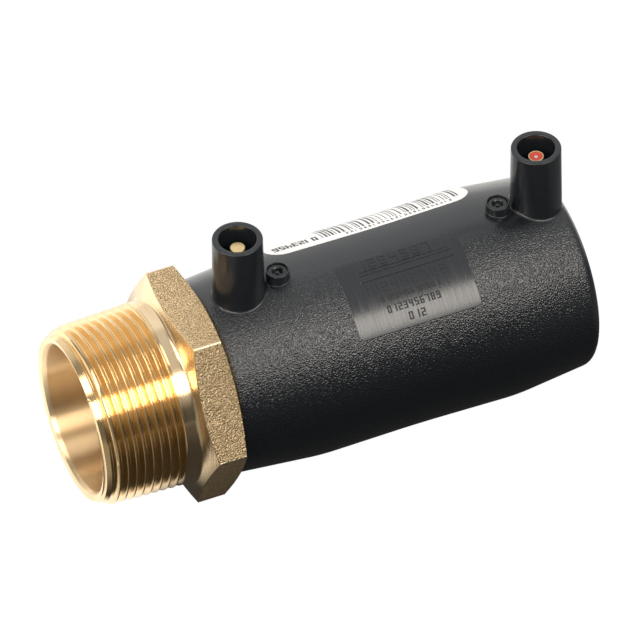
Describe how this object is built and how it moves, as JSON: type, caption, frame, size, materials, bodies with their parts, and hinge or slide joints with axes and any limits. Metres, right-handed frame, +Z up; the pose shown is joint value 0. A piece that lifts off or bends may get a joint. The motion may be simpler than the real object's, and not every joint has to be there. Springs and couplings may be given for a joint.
{
  "type": "electrofusion male adapter",
  "caption": "Black plastic socket that welds on to a pipe with its buried heating coil, joined to a brass insert with a hexagon and a male taper thread.",
  "frame": {"origin": "on the pipe's axis, in the plane where the pipe's end stops in the socket", "axes": "+X along the pipe's axis, out of the socket's mouth; +Z up, along the terminals"},
  "size_m": [0.1364, 0.062, 0.0723],
  "materials": {
    "black_polyethylene": "satin, finely textured",
    "turned_brass": "turned, with a blasted hexagon",
    "seal_rubber": "matte",
    "resistance_wire": "drawn",
    "pin_brass": "bright",
    "red_insert": "satin",
    "contact_metal": "bright",
    "resistor_enamel": "enamelled",
    "grey_indicator": "satin",
    "label_film": "printed film"
  },
  "bodies": {
    "root": {"body": "black_polyethylene", "brass_adapter": "turned_brass", "seal_ring_outer": "seal_rubber", "seal_ring_inner": "seal_rubber", "heating_coil": "resistance_wire", "terminal_pin": "pin_brass", "id_pin_sleeve": "pin_brass", "id_pin_insulator": "red_insert", "id_pin_contact": "contact_metal", "id_resistor": "resistor_enamel", "fusion_indicator_near": "grey_indicator", "fusion_indicator_far": "grey_indicator", "label": "label_film"}
  },
  "joints": []
}
